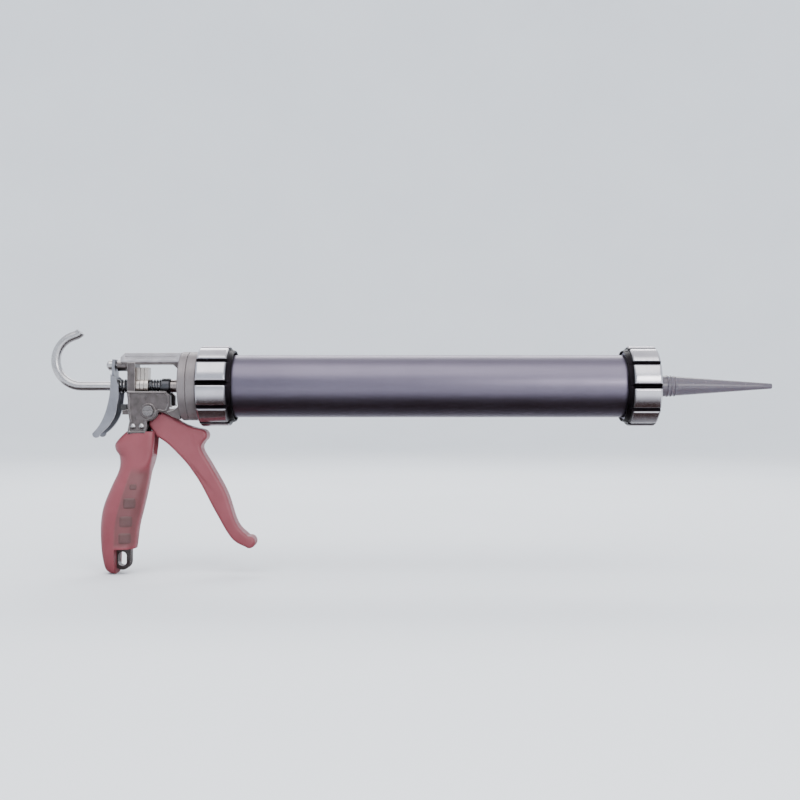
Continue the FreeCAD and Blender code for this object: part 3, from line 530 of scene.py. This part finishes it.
def ring_nut(name, x_face, x_neck, bore_r, mouth, phase_deg):
    """x_face is the lobed end, x_neck the plain one, and mouth the rim's inner radius there."""
    way = math.copysign(1.0, x_neck - x_face)
    length = abs(x_neck - x_face)

    def at(depth, r):
        return (x_face + way * depth, r)

    lobed = length - NECK
    profile = [
        at(0.0, mouth + 1.5 * MM), at(0.0, NUT_R - CHAMFER), at(CHAMFER, NUT_R + LOBE_PROUD),
        at(lobed - CHAMFER, NUT_R + LOBE_PROUD), at(lobed, NUT_R - CHAMFER),
        at(lobed, 31.9 * MM), at(lobed + 0.6 * MM, 31.7 * MM), at(length, 30.6 * MM),
        at(length, bore_r), at(3.5 * MM, bore_r), at(3.5 * MM, mouth), at(1.5 * MM, mouth),
    ]
    dense = []
    for (xa, ra), (xb, rb) in zip(profile, profile[1:] + profile[:1]):
        count = max(1, int(math.hypot(xb - xa, rb - ra) / (2.0 * MM)))
        dense += [(xa + (xb - xa) * k / count, ra + (rb - ra) * k / count) for k in range(count)]
    nut = lathe(name, eased(dense, 0.35 * MM, 2), lobe_angles(phase_deg), nut_shape(phase_deg))
    # marks the grooves and neck for the finish's painted shade
    mark(nut, PAINTED_SHADE, nut_painted_shade(x_face + way * (lobed - 1.0 * MM), way, phase_deg))
    return nut


def build_ring_nuts():
    front = ring_nut("front_ring", NOSE_X, FRONT_NUT_X0, 30.0 * MM, 22.0 * MM, 181.0)
    stand_in(front, "chromed_nut", "front_ring", "front_ring_nut")
    rear = ring_nut("rear_ring", SEAT_X, REAR_NUT_X1, 29.4 * MM, 29.4 * MM, 176.0)
    stand_in(rear, "chromed_nut", "rear_ring", "rear_ring_nut")


# ---- nozzle ----


def build_nozzle():
    """A long taper with a rounded collar, three moulded rings at its root and a cut tip."""
    lo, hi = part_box("nozzle")
    flange_x, flange_r = lo.x, hi.z
    root_x = NOSE_X + 2.0 * MM
    tip_r, root_r, bore_r = mm(2.3, 10.5, 1.5)
    outline = [(flange_x, root_r - 1.6 * MM), (flange_x, flange_r),
               (flange_x + 1.6 * MM, flange_r), (flange_x + 1.6 * MM, root_r), (root_x, root_r)]
    taper_x = root_x + 3.0 * MM
    taper_r = root_r - 1.2 * MM

    def cone(x):
        return taper_r + (tip_r - taper_r) * (x - taper_x) / (hi.x - taper_x)

    outline.append((taper_x, taper_r))
    for ring in range(3):
        x = taper_x + (5.0 + 3.2 * ring) * MM
        outline += [(x, cone(x)), (x + 0.5 * MM, cone(x) + 0.5 * MM),
                    (x + 1.3 * MM, cone(x) + 0.5 * MM), (x + 1.8 * MM, cone(x))]
    outline += [(hi.x - 14 * MM, cone(hi.x - 14 * MM)), (hi.x, tip_r), (hi.x, bore_r),
                (hi.x - 6.0 * MM, bore_r), (root_x, root_r - 1.6 * MM)]
    nozzle = lathe("tapered_nozzle", eased(outline, 0.5 * MM, 3))
    stand_in(nozzle, "grey_nozzle", "front_cap", "nozzle")


# ---- grip ----

# z, rear edge, front edge (both from the seat) and half width, in millimetres
GRIP_SECTIONS = (
    (-39.0, -64.0, -38.6, 12.9),
    (-44.0, -69.5, -38.6, 13.2),
    (-50.0, -74.0, -39.0, 13.4),
    (-55.0, -73.6, -39.6, 13.2),
    (-61.0, -70.2, -40.4, 13.0),
    (-72.0, -70.6, -42.8, 13.4),
    (-88.0, -77.8, -45.8, 14.4),
    (-104.0, -84.0, -49.4, 15.2),
    (-120.0, -86.4, -53.4, 15.4),
    (-140.0, -85.8, -56.2, 14.6),
    (-155.0, -83.2, -60.0, 12.8),
    (-161.5, -79.5, -66.0, 9.0),
)
# x and z, then half width and half height, in millimetres
BARS = ((-56.2, -86.4, 3.0, 2.4), (-59.2, -100.4, 5.2, 4.6),
        (-62.3, -116.1, 5.4, 4.8), (-63.4, -130.5, 5.2, 4.8))
GRIP_SCREWS = ((-59.5, -74.0), (-71.5, -121.3))
SLOT_HALF = 8.3 * MM
# the grip's side runs straight to its heel, which then rounds under
HEEL_Z_MM = -158.5
HEEL_ROUNDING = 3.0 * MM
LOWEST_Z = -161.4 * MM
INLAY_DEPTH = 0.5 * MM
INLAY_EDGE = 1.6 * MM


def grip_curve():
    dense = np.array(flow(np.array(GRIP_SECTIONS) * MM, 12))
    return dense[np.argsort(dense[:, 0])]


GRIP_CURVE = grip_curve()


def grip_section(z):
    """Rear edge, front edge and half width at a height, in metres."""
    return [float(np.interp(z, GRIP_CURVE[:, 0], GRIP_CURVE[:, k])) for k in (1, 2, 3)]


def grip_side(u, z):
    """How far out the grip's side is, as a share, from u -1 at the rear to +1 at the front."""
    boxy = smoothstep((z + 76.0 * MM) / (16.0 * MM)) if u > 0 else 0.0
    power = 2.5 + 4.5 * boxy
    return max(0.0, 1.0 - abs(u) ** power) ** (1.0 / power)


def inlay_and_painted_shade(x, z):
    """How fully a point of the grip's side lies in the shallow recess of its front half, which the
    grip's finish colours darker as painted shade.
    """
    rear, front, _ = grip_section(z)
    middle = SEAT_X + (rear + front) / 2 - 1.5 * MM
    along = smoothstep((-68.0 * MM - z) / (9.0 * MM)) * smoothstep((z + 139.0 * MM) / (3.0 * MM))
    ahead = smoothstep((x - middle) / INLAY_EDGE + 0.5)
    before_edge = smoothstep((SEAT_X + front - 1.2 * MM - x) / INLAY_EDGE + 0.5)
    return along * ahead * before_edge


def grip_half(name, side):
    steps = 72
    levels = list(np.linspace(GRIP_SECTIONS[0][0], HEEL_Z_MM, 110) * MM)
    rings = [(z, 0.0) for z in levels]
    for k in range(1, 6):
        a = math.radians(18.0 * k)
        rings.append((levels[-1] - HEEL_ROUNDING * math.sin(a), HEEL_ROUNDING * (1 - math.cos(a))))
    verts = []
    parting = 0.06 * MM
    for z, inset in rings:
        rear, front, half = grip_section(max(z, LOWEST_Z))
        centre, reach = SEAT_X + (rear + front) / 2, (front - rear) / 2 - inset
        for k in range(steps + 1):
            u = math.cos(math.pi * k / steps)
            x = centre + u * reach
            y = parting + (half - inset - parting) * grip_side(u, z)
            y = max(parting, y - INLAY_DEPTH * inlay_and_painted_shade(x, z) * smoothstep((y - 2 * MM) / (2 * MM)))
            verts.append((x, side * y, z))
    row = steps + 1
    faces = []
    for r in range(len(rings) - 1):
        faces += [(r * row + k, r * row + k + 1, (r + 1) * row + k + 1, (r + 1) * row + k)
                  for k in range(steps)]
        faces.append((r * row, (r + 1) * row, (r + 1) * row + steps, r * row + steps))
    piece = make_piece(name, verts, faces + ends(len(rings), row))
    y0, y1 = sorted((-side * 1.0 * MM, side * SLOT_HALF))
    cutters = [
        trigger_slot(y0, y1),
        block(EYE_X - 5.0 * MM, SEAT_X, -20 * MM, 20 * MM, -180 * MM, NOTCH_Z),
    ]
    if side > 0:
        cutters += [drill_y(HEAD_HOLE_R, 10.0 * MM, 25.0 * MM, SEAT_X + x * MM, z * MM)
                    for x, z in GRIP_SCREWS]
    cut_away(piece, cutters)
    # marks the recessed front half, which the finish colours darker as painted shade
    mark(piece, INLAY_SHADE, lambda x, y, z: inlay_and_painted_shade(x, z))
    stand_in(piece, "red_grip", "frame", "grip_left" if side > 0 else "grip_right")


def trigger_slot(y0, y1):
    """The wedge that the squeezed trigger's root turns into."""
    wedge = [(-49.2, 0.0), (-49.2, -40.0), (-46.8, -49.0), (-40.6, -60.0), (-20.0, -60.0),
             (-20.0, 0.0)]
    return prism_y([(SEAT_X + x * MM, z * MM) for x, z in wedge], y0, y1)


def grip_pads(name, side):
    """Four soft raised bars that follow the curve of the grip's side."""
    cells = 14
    verts, faces = [], []
    for x_mm, z_mm, half_x, half_z in BARS:
        base = len(verts)
        for layer in (0, 1):
            for i in range(cells + 1):
                for j in range(cells + 1):
                    a, b = 2 * i / cells - 1, 2 * j / cells - 1
                    pull = 1.0 - 0.10 * (a * b) ** 2
                    x = SEAT_X + (x_mm + a * half_x * pull) * MM
                    z = (z_mm + b * half_z * pull) * MM
                    rear, front, half = grip_section(z)
                    u = (x - SEAT_X - (rear + front) / 2) / ((front - rear) / 2)
                    rise = 0.85 * MM * (1 - max(abs(a), abs(b)) ** 8) - 0.1 * MM
                    skin = half * grip_side(u, z) - INLAY_DEPTH * inlay_and_painted_shade(x, z)
                    out = skin + (rise if layer else -1.2 * MM)
                    verts.append((x, side * out, z))
        row = cells + 1
        sheet = row * row

        def at(layer, i, j):
            return base + layer * sheet + i * row + j

        for i in range(cells):
            for j in range(cells):
                for layer in (0, 1):
                    faces.append((at(layer, i, j), at(layer, i + 1, j),
                                  at(layer, i + 1, j + 1), at(layer, i, j + 1)))
            for end in (0, cells):
                faces.append((at(0, i, end), at(0, i + 1, end), at(1, i + 1, end), at(1, i, end)))
                faces.append((at(0, end, i), at(0, end, i + 1), at(1, end, i + 1), at(1, end, i)))
    pads = make_piece(name, verts, faces)
    stand_in(pads, "dark_bars", "frame", "grip_bars_left" if side > 0 else "grip_bars_right")


def build_grip():
    for side, word in ((-1, "right"), (1, "left")):
        grip_half("grip_shell_" + word, side)
        grip_pads("grip_pads_" + word, side)


# ---- trigger covers ----

TRIGGER_NARROW = 7.7 * MM
TRIGGER_WIDE = 10.0 * MM
WIDE_X = SEAT_X - 12.0 * MM
TRIGGER_SCREWS = ((-4.0, -58.0), (22.0, -112.0))


def trigger_outline():
    """The trigger seen from the side, as a dense closed line of (x, z)."""
    collar = 7.4

    def around(deg):
        a = math.radians(deg)
        return ((PIVOT.x - SEAT_X) / MM + collar * math.cos(a), PIVOT.z / MM + collar * math.sin(a))

    line = flow([(-24.5, -25.5), (-16.7, -31.0), (-6.7, -35.2), (2.0, -37.2)])
    line += bow((2.0, -37.2), (6.3, -42.0), (3.3, -47.5))
    line += flow([(3.3, -47.5), (1.4, -54.5), (10.3, -70.0), (22.3, -92.0), (31.3, -118.0),
                  (41.3, -129.0)])
    line += bow((41.3, -129.0), (47.4, -136.0), (41.3, -139.6))
    line += flow([(41.3, -139.6), (27.3, -131.0), (13.3, -108.0), (-3.7, -77.0), (-24.7, -53.0),
                  (-38.7, -42.5)])
    line += [np.array([-44.5, -33.5])] + bow(around(-92.0), around(-45.0), around(5.0))
    points = np.array(line) * MM + np.array([SEAT_X, 0.0])
    return evenly(points, 1.0 * MM)


def evenly(points, spacing):
    """The same closed line, cut into equal steps."""
    closed = np.vstack([points, points[:1]])
    lengths = np.linalg.norm(np.diff(closed, axis=0), axis=1)
    keep = np.concatenate([[True], lengths > 1e-7])
    closed = closed[keep]
    run = np.concatenate([[0.0], np.cumsum(np.linalg.norm(np.diff(closed, axis=0), axis=1))])
    count = int(run[-1] / spacing)
    marks = np.linspace(0.0, run[-1], count, endpoint=False)
    return np.stack([np.interp(marks, run, closed[:, k]) for k in (0, 1)], axis=1)


def inward(points):
    """Unit vectors that point into a closed line, evened out along it."""
    ahead = np.roll(points, -2, axis=0) - np.roll(points, 2, axis=0)
    normal = np.stack([-ahead[:, 1], ahead[:, 0]], axis=1)
    after = np.roll(points, -1, axis=0)
    area = np.sum(points[:, 0] * after[:, 1] - points[:, 1] * after[:, 0])
    normal *= math.copysign(1.0, area)
    return normal / np.linalg.norm(normal, axis=1)[:, None]


def trigger_cover(name, side):
    line = trigger_outline()
    inner = inward(line)
    edge_r = 2.8 * MM
    parting = 0.08 * MM

    def half_width(x):
        widening = smoothstep((x - WIDE_X) / (7 * MM))
        return TRIGGER_NARROW + (TRIGGER_WIDE - TRIGGER_NARROW) * widening

    layers = [(2.5 * MM, lambda x: 3.6 * MM), (2.5 * MM, lambda x: parting),
              (0.3 * MM, lambda x: parting), (0.0, lambda x: parting + 0.3 * MM)]
    for k in range(9):
        a = math.radians(90.0 * k / 8)
        layers.append((edge_r * (1 - math.cos(a)),
                       lambda x, s=math.sin(a): half_width(x) - edge_r * (1 - s)))
    verts = []
    for inset, out in layers:
        for (x, z), (nx, nz) in zip(line, inner):
            verts.append((x + nx * inset, side * out(x), z + nz * inset))
    size = len(layers), len(line)
    cover = make_piece(name, verts, wrap(*size) + ends(*size))
    if side > 0:
        cut_away(cover, [drill_y(HEAD_HOLE_R, 7.5 * MM, 25.0 * MM, SEAT_X + x * MM, z * MM)
                         for x, z in TRIGGER_SCREWS])
    stand_in(cover, "red_grip", "trigger",
             "trigger_cover_left" if side > 0 else "trigger_cover_right")


def build_trigger():
    trigger_cover("trigger_shell_right", -1)
    trigger_cover("trigger_shell_left", 1)


# ---- raised edges of the casting ----


def cheek_line():
    """The cheek's outline, as a dense closed line of (x, z)."""
    x0, z0, mouth_r = (PIVOT.x - SEAT_X) / MM, PIVOT.z / MM, 8.4

    def mouth(deg):
        a = math.radians(deg)
        return (x0 + mouth_r * math.cos(a), z0 + mouth_r * math.sin(a))

    line = [(-45.5, -41.0), (-61.0, -41.0), (-61.0, -38.0), (-59.5, -30.0), (-61.0, -19.0),
            (-61.0, -12.0), (-62.0, -4.5), (-28.5, -4.5), (-24.5, -8.5), (-24.5, -16.0),
            (-27.0, -22.0), (-29.5, -22.8)]
    line = [np.array(p) for p in line] + bow(mouth(-4.0), mouth(-45.0), mouth(-98.0), 14)
    return evenly(np.array(line) * MM + np.array([SEAT_X, 0.0]), 0.7 * MM)


def cheek_rim(name, side):
    """A raised bead just inside the cheek's outline."""
    line = cheek_line()
    inner = inward(line)
    section = mm(0.5, -0.3), mm(0.5, 0.4), mm(0.9, 0.8), mm(1.9, 0.8), mm(2.3, 0.4), mm(2.3, -0.3)
    verts = [(x + nx * inset, side * (CHEEK_OUT + out), z + nz * inset)
             for inset, out in section for (x, z), (nx, nz) in zip(line, inner)]
    rim = make_piece(name, verts, wrap(len(section), len(line), closed=True))
    wear(rim, "cast_frame")
    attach(rim, "frame")


def pivot_boss(name, side):
    """A low round boss that the pivot's head or nut sits on."""
    profile = mm(4.6, -0.3), mm(4.6, 0.5), mm(4.9, 0.8), mm(6.2, 0.8), mm(6.8, 0.3), mm(6.8, -0.3)
    turns = 72
    verts = [(PIVOT.x + r * math.cos(2 * math.pi * k / turns), side * (CHEEK_OUT + out),
              PIVOT.z + r * math.sin(2 * math.pi * k / turns))
             for k in range(turns) for r, out in profile]
    boss = make_piece(name, verts, wrap(turns, len(profile), closed=True))
    wear(boss, "cast_frame")
    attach(boss, "frame")


def build_casting_edges():
    for side, word in ((-1, "right"), (1, "left")):
        cheek_rim("cheek_rim_" + word, side)
        pivot_boss("pivot_boss_" + word, side)


# ---- springs ----


def coil(name, x0, x1, mean_r, wire_r, turns):
    """A compression spring round the X axis, with its end turns wound close."""
    per_turn, sides = 40, 12
    count = turns * per_turn
    length = x1 - x0 - 2 * wire_r
    rate = [0.25 if min(k, count - k) < per_turn else 1.0 for k in range(count + 1)]
    travel = np.cumsum(rate)
    travel = (travel - travel[0]) / (travel[-1] - travel[0]) * length
    verts = []
    for k in range(count + 1):
        a = 2 * math.pi * k / per_turn
        out = Vector((0.0, math.cos(a), math.sin(a)))
        centre = Vector((x0 + wire_r + travel[k], 0.0, 0.0)) + out * mean_r
        for j in range(sides):
            b = 2 * math.pi * j / sides
            verts.append(centre + out * wire_r * math.cos(b) + Vector((wire_r * math.sin(b), 0, 0)))
    size = count + 1, sides
    return make_piece(name, verts, wrap(*size) + ends(*size), 60.0)


def build_springs():
    lo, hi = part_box("drive_spring")
    drive = coil("drive_coil", lo.x, hi.x, 5.2 * MM, 0.8 * MM, 8)
    stand_in(drive, "black_steel", "frame", "drive_spring")
    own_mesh(drive)
    lo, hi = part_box("brake_spring")
    brake = coil("brake_coil", lo.x, hi.x, 5.4 * MM, 0.8 * MM, 5)
    stand_in(brake, "black_steel", "frame", "brake_spring")
    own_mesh(brake)


# ---- stage, light and camera ----

CENTRE_X = -0.32
# the dark card under the gun, and how far in from each long edge it fades
CARD_X = (-0.85, 0.22)
CARD_Y = (-0.37, 0.36)
CARD_FULL_Y = (-0.14, -0.03)


def build_stage():
    """A pale floor that rises all round into a backdrop, and a dark card seen only in metal.

    The card fades towards both its long edges, so that the metal darkens gradually.
    """
    paper = Finish("stage_paper")
    paper.feed("Base Color", paper.blend(paper.span(paper.speckle(3.0), 0.0, 1.0),
                                         (0.82, 0.85, 0.88), (0.85, 0.88, 0.91)))
    paper.shader.inputs["Roughness"].default_value = 0.9
    flat_r, curve_r, turns = 2.2, 1.4, 96
    profile = [(0.0, 0.0), (flat_r, 0.0)]
    profile += [(flat_r + curve_r * math.sin(math.radians(a)),
                 curve_r * (1 - math.cos(math.radians(a)))) for a in range(6, 91, 6)]
    profile.append((flat_r + curve_r, curve_r + 1.6))
    floor_z = FLOOR_Z - 0.5 * MM
    verts = [(CENTRE_X + r * math.cos(2 * math.pi * k / turns),
              r * math.sin(2 * math.pi * k / turns), floor_z + h)
             for k in range(turns) for r, h in profile]
    rows = len(profile)
    faces = [(k * rows + j, (k + 1) % turns * rows + j,
              (k + 1) % turns * rows + j + 1, k * rows + j + 1)
             for k in range(turns) for j in range(rows - 1)]
    floor = make_piece("stage_floor", verts, faces)
    floor.data.materials.append(paper.material)

    card_paint = Finish("stage_card")
    card_paint.shader.inputs["Base Color"].default_value = (0.030, 0.014, 0.013, 1.0)
    card_paint.shader.inputs["Roughness"].default_value = 1.0
    y = card_paint.add("ShaderNodeSeparateXYZ", Vector=card_paint.place).outputs["Y"]
    cover = card_paint.tree.nodes.new("ShaderNodeMath")
    cover.operation = "MULTIPLY"
    rising = card_paint.span(y, 0.0, 1.0, CARD_Y[0], CARD_FULL_Y[0])
    falling = card_paint.span(y, 1.0, 0.0, CARD_FULL_Y[1], CARD_Y[1])
    card_paint.tree.links.new(rising, cover.inputs[0])
    card_paint.tree.links.new(falling, cover.inputs[1])
    card_paint.feed("Alpha", cover.outputs["Value"])
    z = floor_z + 1.0 * MM
    corners = [(CARD_X[i], CARD_Y[j], z) for i, j in ((0, 0), (1, 0), (1, 1), (0, 1))]
    card = make_piece("stage_card", corners, [(0, 1, 2, 3)])
    card.data.materials.append(card_paint.material)
    card.visible_camera = False
    card.visible_diffuse = False
    card.visible_shadow = False


def soft_light(name, place, target, size, size_y, power, colour=(1.0, 1.0, 1.0)):
    lamp = bpy.data.lights.new(name, "AREA")
    lamp.shape = "RECTANGLE"
    lamp.size = size
    lamp.size_y = size_y
    lamp.energy = power
    lamp.color = colour
    holder = bpy.data.objects.new(name, lamp)
    holder.location = place
    holder.rotation_mode = "QUATERNION"
    holder.rotation_quaternion = (Vector(target) - Vector(place)).to_track_quat("-Z", "Y")
    bpy.context.scene.collection.objects.link(holder)


def build_light():
    world = bpy.data.worlds.new("studio")
    world.use_nodes = True
    sky = world.node_tree.nodes["Background"]
    sky.inputs["Color"].default_value = (0.94, 0.95, 1.0, 1.0)
    sky.inputs["Strength"].default_value = 1.55
    bpy.context.scene.world = world
    aim = (CENTRE_X, 0.0, -0.03)
    soft_light("key", (-0.55, -1.1, 1.9), aim, 2.6, 2.0, 40.0)
    soft_light("fill", (0.32, -1.3, 0.36), aim, 0.7, 0.45, 9.0, (1.0, 0.98, 0.97))
    soft_light("rim", (-0.3, 1.3, 1.1), aim, 1.8, 0.5, 18.0)


def build_camera():
    """The product view: square on to the gun's right side, level with the barrel."""
    distance = 0.940
    centre_x = -0.322
    camera = bpy.data.cameras.new("camera")
    camera.lens = 48.8
    camera.sensor_width = 36.0
    holder = bpy.data.objects.new("camera", camera)
    holder.location = (centre_x, -distance, -0.012)
    holder.rotation_euler = (math.radians(90.0), 0.0, 0.0)
    bpy.context.scene.collection.objects.link(holder)
    bpy.context.scene.camera = holder


build_camera()
build_stage()
build_light()
finish_cad_nodes()
build_ring_nuts()
build_nozzle()
build_grip()
build_trigger()
build_casting_edges()
build_springs()
